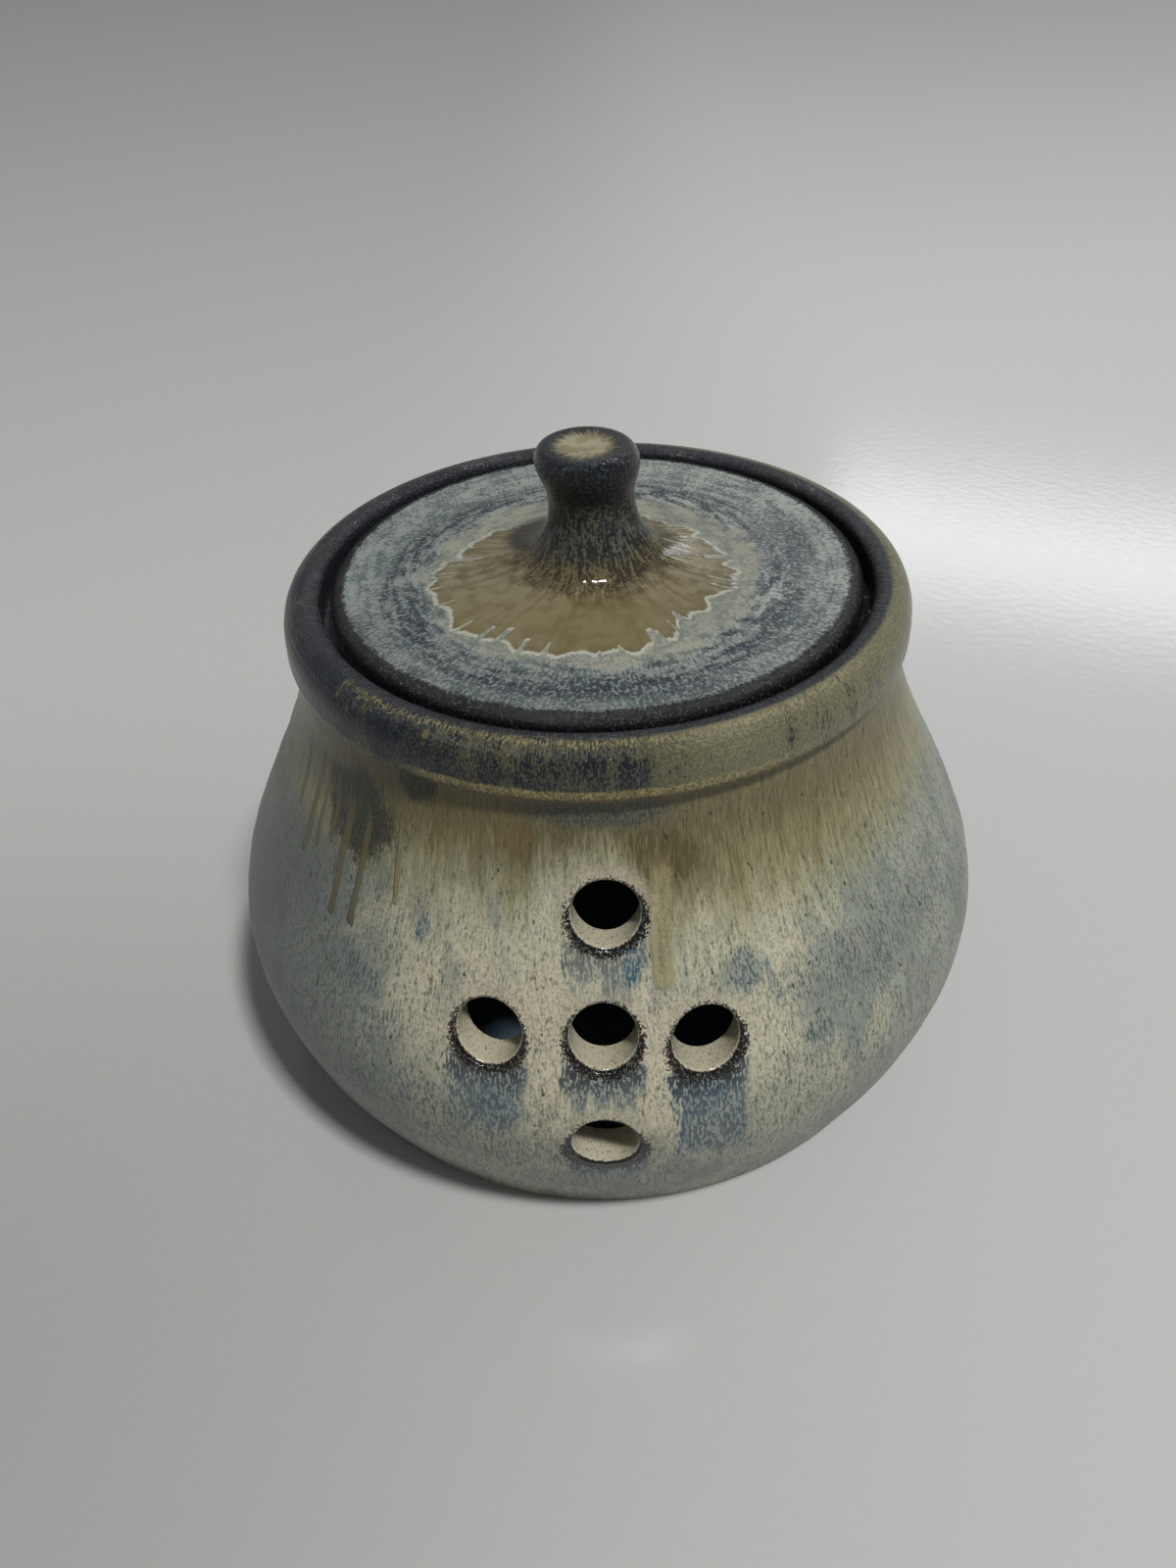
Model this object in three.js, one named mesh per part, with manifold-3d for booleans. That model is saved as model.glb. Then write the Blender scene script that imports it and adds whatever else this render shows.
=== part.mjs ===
// Garlic keeper: a wheel-thrown, glazed stoneware jar with five vent holes in a cross on its front,
// and a loose drop-in lid, thrown in one with its knob, that rests on a ledge inside the rim.
// Millimetres, +Z up, origin on the table under the middle of the foot, vents facing -Y.

import * as THREE from 'three';
import * as BufferGeometryUtils from 'three/addons/utils/BufferGeometryUtils.js';
import Module from 'manifold-3d';

// Jar, outside
const jarHeight = 86;
const bellyDiameter = 130.4;
const bellyHeight = 27;
const neckDiameter = 95.4;
const neckHeight = 76.4;
const rimDiameter = 98.6;
const rimWidestHeight = 80.8;
const rimLipHeight = 77.8;
const rimCrestDiameter = 90.8;

// Jar, foot
const creaseDiameter = 124.2;
const creaseHeight = 12;
const footDiameter = 114.6;
const footEdgeRadius = 1.2;
const footRingWidth = 8;
const footRecessDepth = 2.5;

// Jar, inside
const wallThickness = 5.8;
const floorThickness = 6.5;
const mouthDiameter = 86.6;
const mouthEasing = 1.6;
const ledgeDepth = 5.6;
const ledgeThickness = 4;
const throatDiameter = 75.6;

// Vent holes: the middle one's height, and the steps to the other four along the wall's height and width
const ventDiameter = 9.6;
const ventLipRadius = 0.8;
const ventHeight = 44.4;
const ventStepUp = 16.2;
const ventStepDown = 17.6;
const ventStepAcross = 15.8;
const ventSideDrop = 1.4;

// Lid and knob
const lidGap = 1.8;
const seatGap = 0.3;
const lidThickness = 5.2;
const lidEdgeRadius = 1.8;
const lidRise = 0.8;
const lidRingHeight = 4.5;
const lidRingWidth = 4;
const lidRingGap = 1.6;
const lidHollowDepth = 1.2;
const knobHeight = 20.2;
const knobDiameter = 15.8;
const knobHeadHeight = 5;
const knobDishDepth = 0.5;
const knobEdgeRadius = 1.6;
const stemDiameter = 13.2;
const stemFootDiameter = 19;
const stemFlareDiameter = 46;

// Fineness of the round forms
const turnSteps = 60;
const longCurveSteps = 8;
const shortCurveSteps = 3;
const edgeSteps = 2;
const ventSteps = 24;
const cutOverrun = 4;

const wasm = await Module();
wasm.setup();

const clay = { metalness: 0, flatShading: false };
const glaze = (name, color, roughness) => new THREE.MeshStandardMaterial({ ...clay, name, color, roughness });
const jarGlaze = glaze('jar_glaze', 0xa9a795, 0.28);
const lidGlaze = glaze('lid_glaze', 0x8a949b, 0.32);

// A geometry's corners are merged, and its flat triangles at the poles dropped, so that it closes.
function closed(geometry) {
  const bare = geometry.clone();
  bare.deleteAttribute('normal');
  bare.deleteAttribute('uv');
  const merged = BufferGeometryUtils.mergeVertices(bare);
  const corners = merged.index.array;
  const kept = [];
  for (let i = 0; i < corners.length; i += 3) {
    const [a, b, c] = corners.slice(i, i + 3);
    if (a !== b && b !== c && c !== a) kept.push(a, b, c);
  }
  merged.setIndex(kept);
  return merged;
}

function toSolid(geometry) {
  const merged = closed(geometry);
  return new wasm.Manifold(new wasm.Mesh({
    numProp: 3,
    vertProperties: new Float32Array(merged.attributes.position.array),
    triVerts: new Uint32Array(merged.index.array),
  }));
}

function toGeometry(solid) {
  const { vertProperties, triVerts } = solid.getMesh();
  const geometry = new THREE.BufferGeometry();
  geometry.setAttribute('position', new THREE.BufferAttribute(new Float32Array(vertProperties), 3));
  geometry.setIndex(new THREE.BufferAttribute(new Uint32Array(triVerts), 1));
  geometry.computeVertexNormals();
  return geometry;
}

// Turns a half outline about the upright axis, as on the wheel. Its points run up the outside.
function thrown(points, steps) {
  const geometry = new THREE.LatheGeometry(points, steps);
  geometry.rotateX(Math.PI / 2);
  return geometry;
}

const at = (radius, height) => new THREE.Vector2(radius, height);

// A point that lies a given way inside a wall's curve, square to it; the curve runs down the outside.
function inside(curve, share, depth) {
  const point = curve.getPoint(share);
  const along = curve.getTangent(share);
  return at(point.x + along.y * depth, point.y - along.x * depth);
}

// The wall from the groove under the rim to the belly: a short straight neck, then a full round belly
const bellyRadius = bellyDiameter / 2;
const neckRadius = neckDiameter / 2;
const shoulderHandleShares = { out: 0.11, down: 0.37 };
const bellyHandleShare = 0.3;
const shoulderRun = bellyRadius - neckRadius;
const shoulderDrop = neckHeight - bellyHeight;
const shoulderCurve = new THREE.CubicBezierCurve(
  at(neckRadius, neckHeight),
  at(neckRadius + shoulderHandleShares.out * shoulderRun, neckHeight - shoulderHandleShares.down * shoulderDrop),
  at(bellyRadius, bellyHeight + bellyHandleShare * shoulderDrop),
  at(bellyRadius, bellyHeight),
);

// The wall from the belly to the crease, where the trimmed bevel begins
const creaseRadius = creaseDiameter / 2;
const underHandleShares = { belly: 0.4, creaseOut: 0.45, creaseUp: 0.35 };
const underRun = bellyRadius - creaseRadius;
const underDrop = bellyHeight - creaseHeight;
const underCurve = new THREE.CubicBezierCurve(
  at(bellyRadius, bellyHeight),
  at(bellyRadius, bellyHeight - underHandleShares.belly * underDrop),
  at(creaseRadius + underHandleShares.creaseOut * underRun, creaseHeight + underHandleShares.creaseUp * underDrop),
  at(creaseRadius, creaseHeight),
);

// The rolled rim, from its lower lip over the widest part and the crest to the mouth
const rimRadius = rimDiameter / 2;
const crestRadius = rimCrestDiameter / 2;
const mouthRadius = mouthDiameter / 2;
const throatRadius = throatDiameter / 2;
const ledgeHeight = jarHeight - ledgeDepth;

function rimOutline() {
  const lipRadius = (neckRadius + rimRadius) / 2;
  const lipRoundShare = 0.45;
  const lipRound = lipRoundShare * (rimWidestHeight - rimLipHeight);
  const crownShare = 0.62;
  const crownRun = crownShare * (rimRadius - crestRadius);
  const crownRise = crownShare * (jarHeight - rimWidestHeight);
  const path = new THREE.Path();
  path.moveTo(neckRadius, neckHeight);
  path.quadraticCurveTo(neckRadius, rimLipHeight, lipRadius, rimLipHeight);
  path.quadraticCurveTo(rimRadius, rimLipHeight, rimRadius, rimWidestHeight - lipRound);
  path.lineTo(rimRadius, rimWidestHeight);
  path.bezierCurveTo(
    rimRadius, rimWidestHeight + crownRise,
    crestRadius + crownRun, jarHeight,
    crestRadius, jarHeight,
  );
  path.quadraticCurveTo(mouthRadius, jarHeight, mouthRadius, jarHeight - mouthEasing);
  return path.getPoints(shortCurveSteps);
}

// The ledge that carries the lid, and the wall's inner side under it down to the floor
function insideOutline() {
  const cornerShare = 0.3;
  const corner = cornerShare * ledgeThickness;
  const ledge = new THREE.Path();
  ledge.moveTo(mouthRadius, ledgeHeight);
  ledge.lineTo(throatRadius + corner, ledgeHeight);
  ledge.quadraticCurveTo(throatRadius, ledgeHeight, throatRadius, ledgeHeight - corner);
  ledge.lineTo(throatRadius, ledgeHeight - ledgeThickness + corner);
  const points = ledge.getPoints(edgeSteps);
  const shoulderStartShare = 0.1;
  for (let step = 0; step <= longCurveSteps; step += 1) {
    const share = shoulderStartShare + (1 - shoulderStartShare) * step / longCurveSteps;
    points.push(inside(shoulderCurve, share, wallThickness));
  }
  const underEndShare = 0.9;
  for (let step = 1; step <= edgeSteps; step += 1) {
    points.push(inside(underCurve, underEndShare * step / edgeSteps, wallThickness));
  }
  const last = points[points.length - 1];
  const floorCornerShare = 0.85;
  const floor = new THREE.Path();
  floor.moveTo(last.x, last.y);
  const floorBend = last.x - (last.y - floorThickness) / 2;
  floor.quadraticCurveTo(floorBend, floorThickness, last.x * floorCornerShare, floorThickness);
  points.push(...floor.getPoints(shortCurveSteps).slice(1));
  points.push(at(0, floorThickness));
  return points;
}

// The foot: a flat ring to stand on, round a shallow turned recess
function footOutline() {
  const footRadius = footDiameter / 2;
  const ringInner = footRadius - footEdgeRadius - footRingWidth;
  const foot = new THREE.Path();
  foot.moveTo(0, footRecessDepth);
  foot.lineTo(ringInner - footRecessDepth, footRecessDepth);
  foot.quadraticCurveTo(ringInner, footRecessDepth, ringInner, 0);
  foot.lineTo(footRadius - footEdgeRadius, 0);
  foot.quadraticCurveTo(footRadius, 0, footRadius, footEdgeRadius);
  return foot.getPoints(edgeSteps);
}

const jarOutline = [
  ...footOutline(),
  ...underCurve.getPoints(shortCurveSteps).reverse(),
  ...shoulderCurve.getPoints(longCurveSteps).reverse().slice(1),
  ...rimOutline().slice(1),
  ...insideOutline(),
];

// One vent hole: a straight bore, pushed in halfway between straight ahead and square to the wall, both
// across and up, and a soft lip round its outer end, square to the wall. The wall's place is found by
// halving, on the stretch over or under the belly.
function wallAt(height) {
  const curve = height > bellyHeight ? shoulderCurve : underCurve;
  let low = 0;
  let high = 1;
  const halvings = 30;
  for (let step = 0; step < halvings; step += 1) {
    const middle = (low + high) / 2;
    if (curve.getPoint(middle).y > height) low = middle;
    else high = middle;
  }
  return { point: curve.getPoint(low), tangent: curve.getTangent(low) };
}

function placed(outline, lean, turn, point, bearing) {
  const cutter = new THREE.LatheGeometry(outline.getPoints(edgeSteps), ventSteps);
  cutter.rotateX(Math.PI - lean);
  cutter.rotateZ(turn);
  cutter.translate(point.x * Math.sin(bearing), -point.x * Math.cos(bearing), point.y);
  return toSolid(cutter);
}

function ventAt(stepAcross, height) {
  const { point, tangent } = wallAt(height);
  const squareLean = Math.atan2(tangent.x, -tangent.y);
  const boreSquareShare = 0.5;
  const bearing = stepAcross / point.x;
  const radius = ventDiameter / 2;
  const bore = new THREE.Path();
  bore.moveTo(0, -wallThickness - cutOverrun);
  bore.lineTo(radius, -wallThickness - cutOverrun);
  bore.lineTo(radius, cutOverrun);
  bore.lineTo(0, cutOverrun);
  const lip = new THREE.Path();
  lip.moveTo(0, -ventLipRadius);
  lip.lineTo(radius, -ventLipRadius);
  lip.quadraticCurveTo(radius, 0, radius + ventLipRadius, 0);
  lip.lineTo(radius + ventLipRadius, cutOverrun);
  lip.lineTo(0, cutOverrun);
  const boreLean = squareLean * boreSquareShare;
  const boreTurn = bearing * boreSquareShare;
  const softLip = placed(lip, squareLean, bearing, point, bearing);
  return placed(bore, boreLean, boreTurn, point, bearing).add(softLip);
}

const ventPlaces = [
  { across: 0, height: ventHeight + ventStepUp },
  { across: -ventStepAcross, height: ventHeight },
  { across: 0, height: ventHeight },
  { across: ventStepAcross, height: ventHeight - ventSideDrop },
  { across: 0, height: ventHeight - ventStepDown },
];

function makeJar() {
  let jar = toSolid(thrown(jarOutline, turnSteps));
  for (const { across, height } of ventPlaces) {
    jar = jar.subtract(ventAt(across, height));
  }
  const mesh = new THREE.Mesh(toGeometry(jar), jarGlaze);
  mesh.name = 'jar';
  return mesh;
}

// The lid is drawn with its resting face at zero and lifted onto the ledge.
function lidOutline() {
  const lidRadius = mouthRadius - lidGap;
  const ringOuter = throatRadius - lidRingGap;
  const ringInner = ringOuter - lidRingWidth;
  const ringRoundShare = 0.3;
  const ringRound = ringRoundShare * lidRingWidth;
  const stemRadius = stemDiameter / 2;
  const stemFootRadius = stemFootDiameter / 2;
  const flareRadius = stemFlareDiameter / 2;
  const knobRadius = knobDiameter / 2;
  const crownHeight = lidThickness + lidRise;
  const knobTop = lidThickness + knobHeight;
  const headBase = knobTop - knobHeadHeight;
  const headWidestShare = 0.5;
  const headWidest = knobTop - headWidestShare * knobHeadHeight;
  const stemFootShare = 0.22;
  const stemWaistShare = 0.82;
  const stemFootHeight = crownHeight + stemFootShare * (headBase - crownHeight);
  const stemWaistHeight = crownHeight + stemWaistShare * (headBase - crownHeight);
  const stemBendShare = 0.4;
  const dishRadiusShare = 0.75;
  const path = new THREE.Path();
  path.moveTo(0, lidHollowDepth);
  path.lineTo(ringInner - lidHollowDepth, lidHollowDepth);
  path.quadraticCurveTo(ringInner, lidHollowDepth, ringInner, 0);
  path.lineTo(ringInner, ringRound - lidRingHeight);
  path.quadraticCurveTo(ringInner, -lidRingHeight, ringInner + ringRound, -lidRingHeight);
  path.lineTo(ringOuter - ringRound, -lidRingHeight);
  path.quadraticCurveTo(ringOuter, -lidRingHeight, ringOuter, ringRound - lidRingHeight);
  path.lineTo(ringOuter, 0);
  path.lineTo(lidRadius - footEdgeRadius, 0);
  path.quadraticCurveTo(lidRadius, 0, lidRadius, footEdgeRadius);
  path.lineTo(lidRadius, lidThickness - lidEdgeRadius);
  path.quadraticCurveTo(lidRadius, lidThickness, lidRadius - lidEdgeRadius, lidThickness);
  path.lineTo(flareRadius, crownHeight);
  path.bezierCurveTo(
    (flareRadius + stemFootRadius) / 2, crownHeight,
    stemFootRadius + stemBendShare * (stemFootRadius - stemRadius), (crownHeight + stemFootHeight) / 2,
    stemFootRadius, stemFootHeight,
  );
  path.bezierCurveTo(
    stemRadius, (stemFootHeight + stemWaistHeight) / 2,
    stemRadius, (stemFootHeight + stemWaistHeight) / 2,
    stemRadius, stemWaistHeight,
  );
  path.bezierCurveTo(stemRadius, headBase, knobRadius, headBase, knobRadius, headWidest);
  path.quadraticCurveTo(knobRadius, knobTop, knobRadius - knobEdgeRadius, knobTop);
  path.quadraticCurveTo(dishRadiusShare * (knobRadius - knobEdgeRadius), knobTop, 0, knobTop - knobDishDepth);
  return path.getPoints(shortCurveSteps);
}

function makeLid() {
  const mesh = new THREE.Mesh(toGeometry(toSolid(thrown(lidOutline(), turnSteps))), lidGlaze);
  mesh.name = 'lid';
  mesh.position.z = ledgeHeight + seatGap;
  return mesh;
}

const garlicKeeper = new THREE.Group();
garlicKeeper.name = 'garlic_keeper';
garlicKeeper.add(makeJar(), makeLid());

export default garlicKeeper;
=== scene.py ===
import math

import bpy
from mathutils import Euler, Matrix, Quaternion, Vector, noise
from mathutils.geometry import interpolate_bezier


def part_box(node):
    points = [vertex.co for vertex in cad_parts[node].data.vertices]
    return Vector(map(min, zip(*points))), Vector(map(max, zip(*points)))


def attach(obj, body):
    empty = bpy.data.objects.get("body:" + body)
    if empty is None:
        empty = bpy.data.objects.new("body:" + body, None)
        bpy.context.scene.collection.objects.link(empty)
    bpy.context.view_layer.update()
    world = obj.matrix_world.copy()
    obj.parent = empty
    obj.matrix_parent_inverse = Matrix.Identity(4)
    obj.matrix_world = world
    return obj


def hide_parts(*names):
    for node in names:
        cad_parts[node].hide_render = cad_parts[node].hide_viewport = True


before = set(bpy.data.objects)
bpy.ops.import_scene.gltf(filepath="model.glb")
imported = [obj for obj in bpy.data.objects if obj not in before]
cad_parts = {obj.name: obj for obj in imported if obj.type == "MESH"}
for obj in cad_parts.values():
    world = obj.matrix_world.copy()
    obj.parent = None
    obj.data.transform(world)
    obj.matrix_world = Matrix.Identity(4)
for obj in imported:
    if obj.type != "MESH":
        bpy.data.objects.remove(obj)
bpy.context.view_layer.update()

# Jar
# Thrown on the wheel in buff stoneware, with a rolled rim, a ledge inside it for the lid and a trimmed
# foot. Five vent holes are pushed through the soft wall in a cross. Glazes laid over each other ran
# down from the rim in the firing, pulled thin and dark at every edge, and the foot is wiped bare.

mm = 0.001
_, jar_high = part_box("jar")
jar_height = jar_high.z / mm

# The belly is thrown this much slimmer, to leave room for the clay's unevenness
swell_room = 0.25
belly_radius = jar_high.x / mm - swell_room
belly_height = 27.0
crease_radius, crease_height = 62.1, 12.0
foot_radius, foot_rounding = 57.3, 1.2
foot_ring_width, foot_recess = 8.0, 2.5
neck_radius, neck_height = 47.7, 76.4
rim_radius, rim_lip_height, rim_widest_height = 49.3, 77.8, 80.8
crest_radius = 45.4
mouth_radius, mouth_easing = 43.3, 1.6
ledge_height, ledge_thickness, throat_radius = 80.4, 4.0, 37.8
wall_thickness, floor_height = 5.8, 6.5
none = (0, 0)

jar_outline = [
    (0, foot_recess, none, none),
    (foot_radius - foot_rounding - foot_ring_width - foot_recess, foot_recess, none, (1.6, 0)),
    (foot_radius - foot_rounding - foot_ring_width, 0, (0, 1.2), none),
    (foot_radius - foot_rounding, 0, none, (0.7, 0)),
    (foot_radius, foot_rounding, (0, -0.7), (1.4, 3.1)),
    (crease_radius - 0.25, crease_height - 0.6, (-0.9, -2.2), (0.12, 0.3)),
    (crease_radius + 0.08, crease_height + 0.5, (-0.1, -0.35), (1.3, 4.8)),
    (belly_radius, belly_height, (0, -6.0), (0, 14.8)),
    (neck_radius, neck_height, (1.9, -18.3), (0, 0.9)),
    (neck_radius + 0.8, rim_lip_height, (-0.5, 0), (0.5, 0)),
    (rim_radius, rim_lip_height + 1.6, (0, -1.1), (0, 0.4)),
    (rim_radius, rim_widest_height, (0, -0.4), (0, 3.2)),
    (crest_radius, jar_height, (2.4, 0), (-1.4, 0)),
    (mouth_radius, jar_height - mouth_easing, (0, 1.1), none),
    (mouth_radius, ledge_height + 0.5, none, (0, -0.3)),
    (mouth_radius - 0.5, ledge_height, (0.3, 0), none),
    (throat_radius + 1.2, ledge_height, none, (-0.8, 0)),
    (throat_radius, ledge_height - 1.2, (0, 0.8), none),
    (throat_radius, ledge_height - ledge_thickness + 1.2, none, (0, -0.8)),
    (42.6, 70.6, (-1.6, 2.6), (1.3, -6.2)),
    (belly_radius - wall_thickness, belly_height, (0, 12.8), (0, -5.4)),
    (56.9, 15.1, (1.0, 3.9), (-2.2, -5.4)),
    (48.4, floor_height, (3.0, 0), none),
    (0, floor_height, none, none),
]


def alone(piece):
    """Leaves one object selected and active, so that the next operator works on it only."""
    bpy.ops.object.select_all(action="DESELECT")
    piece.select_set(True)
    bpy.context.view_layer.objects.active = piece


weld_gap = 0.01


def throw(name, outline, pace=1.3, wheel_steps=288):
    """Turns half an outline about the upright axis, as on the wheel. A knot of the outline is a radius,
    a height and the curve's two handles there, in millimetres, and it runs up the outside."""
    line = []
    for (radius, height, _, leaving), (next_radius, next_height, arriving, _) in zip(outline, outline[1:]):
        start = Vector((radius, 0, height))
        end = Vector((next_radius, 0, next_height))
        steps = math.ceil((end - start).length / pace)
        if leaving == none and arriving == none:
            line += [start.lerp(end, step / steps) for step in range(steps)]
            continue
        bend = start + Vector((leaving[0], 0, leaving[1]))
        next_bend = end + Vector((arriving[0], 0, arriving[1]))
        line += interpolate_bezier(start, bend, next_bend, end, max(6, steps) + 1)[:-1]
    line.append(end)
    mesh = bpy.data.meshes.new(name)
    mesh.from_pydata([point * mm for point in line], [(i, i + 1) for i in range(len(line) - 1)], [])
    body = bpy.data.objects.new(name, mesh)
    bpy.context.collection.objects.link(body)
    alone(body)
    bpy.ops.object.mode_set(mode="EDIT")
    bpy.ops.mesh.select_all(action="SELECT")
    bpy.ops.mesh.spin(steps=wheel_steps, angle=math.tau, center=(0, 0, 0), axis=(0, 0, 1))
    bpy.ops.mesh.select_all(action="SELECT")
    bpy.ops.mesh.remove_doubles(threshold=weld_gap * mm)
    bpy.ops.mesh.normals_make_consistent(inside=False)
    bpy.ops.object.mode_set(mode="OBJECT")
    return body


swell_rate = 0.021
swell_start = Vector((3.1, 0, 7.7))
ridge_rate_round, ridge_rate_up, ridge_rate_out = 0.006, 0.42, 0.16


def soften(body, swell, ridge):
    """Moves the clay in and out a little, as hands leave it: a slow swell and faint throwing ridges."""
    for vertex in body.data.vertices:
        place = vertex.co / mm
        radius = math.hypot(place.x, place.y)
        if radius < 1:
            continue
        slow = noise.noise(place * swell_rate + swell_start)
        climb = place.z * ridge_rate_up + radius * ridge_rate_out
        ridges = noise.noise(Vector((place.x * ridge_rate_round, place.y * ridge_rate_round, climb)))
        outward = Vector((place.x, place.y, 0)) / radius
        vertex.co += outward * (slow * swell + ridges * ridge - swell * 0.5) * mm


jar = throw("jar_body", jar_outline)
soften(jar, swell=0.22, ridge=0.16)

# Vent holes of the jar
# Straight bores, pushed in halfway between straight ahead and square to the wall. The glaze
# rounds their outer ends, so each is cut with a rod whose last rings swell to meet the wall.

vent_radius = 4.8
vent_lip = 0.8
vent_bearing = 15.05

# The bearing and height of each hole, and the bearing that its bore points to
vent_places = [
    (1.3, 60.6, 0),
    (-vent_bearing - 0.3, 43.6, -10),
    (0.5, 44.2, 1),
    (vent_bearing - 0.7, 42.4, 4),
    (0.3, 26.3, 0),
]
lip_angles = [0, 15, 30, 45, 60, 72, 80]
rod_sides, rod_step, rod_depth, rod_proud = 96, 1.5, 10.5, 4
well_outside, above_wall = 100, 15


def facing(bearing, lean=0.0):
    """The way that points outwards at a bearing, which is counted in degrees from the front."""
    turn = math.radians(bearing)
    return Vector((math.sin(turn) * math.cos(lean), -math.cos(turn) * math.cos(lean), math.sin(lean)))


def vent_at(bearing, height, turn):
    """The middle of a vent hole on the wall, and the way that its bore points, at its own bearing."""
    outward = facing(bearing)
    start = outward * well_outside * mm + Vector((0, 0, height * mm))
    _, place, normal, _ = jar.ray_cast(start, -outward)
    return place, facing(turn, math.asin(normal.z) / 2)


def rod_for(place, axis):
    """A rod along a bore, whose rings past the first follow the wall and swell into a soft lip."""
    bpy.ops.object.select_all(action="DESELECT")
    bpy.ops.mesh.primitive_circle_add(vertices=rod_sides, radius=vent_radius * mm, fill_type="NGON")
    rod = bpy.context.object
    stand = axis.to_track_quat("Z", "Y").to_matrix().to_4x4()
    start = place - axis * rod_depth * mm
    rod.data.transform(Matrix.Translation(start) @ stand)
    bpy.ops.object.mode_set(mode="EDIT")
    bpy.ops.mesh.select_all(action="SELECT")
    for _ in range(len(lip_angles) + 1):
        bpy.ops.mesh.extrude_region_move(TRANSFORM_OT_translate={"value": axis * rod_step * mm})
    bpy.ops.object.mode_set(mode="OBJECT")
    for vertex in rod.data.vertices:
        along = (vertex.co - start).dot(axis)
        ring = round(along / (rod_step * mm))
        if ring == 0:
            continue
        spoke = (vertex.co - start - axis * along).normalized()
        angle = math.radians(lip_angles[min(ring, len(lip_angles)) - 1])
        radius = vent_radius + vent_lip * (1 - math.cos(angle))
        depth = vent_lip * (1 - math.sin(angle)) if ring <= len(lip_angles) else -rod_proud
        above = place + spoke * radius * mm + axis * above_wall * mm
        _, wall, _, _ = jar.ray_cast(above, -axis)
        vertex.co = wall - axis * depth * mm
    return rod


vents = [vent_at(*vent) for vent in vent_places]
rods = [rod_for(place, axis) for place, axis in vents]
bpy.ops.object.select_all(action="DESELECT")
for rod in rods:
    rod.select_set(True)
bpy.context.view_layer.objects.active = rods[0]
bpy.ops.object.join()
rods = bpy.context.object
alone(rods)
bpy.ops.object.mode_set(mode="EDIT")
bpy.ops.mesh.select_all(action="SELECT")
bpy.ops.mesh.normals_make_consistent(inside=False)
bpy.ops.object.mode_set(mode="OBJECT")

# Glazes
# Every finish here is worked out from the place on the pot, in millimetres, as the dips, runs and
# speckles of the firing follow the form. A recipe adds one node for each step of that working out.


def paint(red, green, blue):
    """A colour named by its screen values from 0 to 255, as light for the shader."""
    def light(value):
        share = value / 255
        return share / 12.92 if share < 0.04045 else ((share + 0.055) / 1.055) ** 2.4

    return (light(red), light(green), light(blue), 1)


class Field:
    """A number that changes over a surface. Sums on it become maths nodes of its recipe."""

    def __init__(self, recipe, socket):
        self.recipe = recipe
        self.socket = socket

    def __add__(self, other):
        return self.recipe.maths("ADD", self, other)

    def __sub__(self, other):
        return self.recipe.maths("SUBTRACT", self, other)

    def __rsub__(self, other):
        return self.recipe.maths("SUBTRACT", other, self)

    def __mul__(self, other):
        return self.recipe.maths("MULTIPLY", self, other)

    def __truediv__(self, other):
        return self.recipe.maths("DIVIDE", self, other)

    __radd__ = __add__


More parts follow.
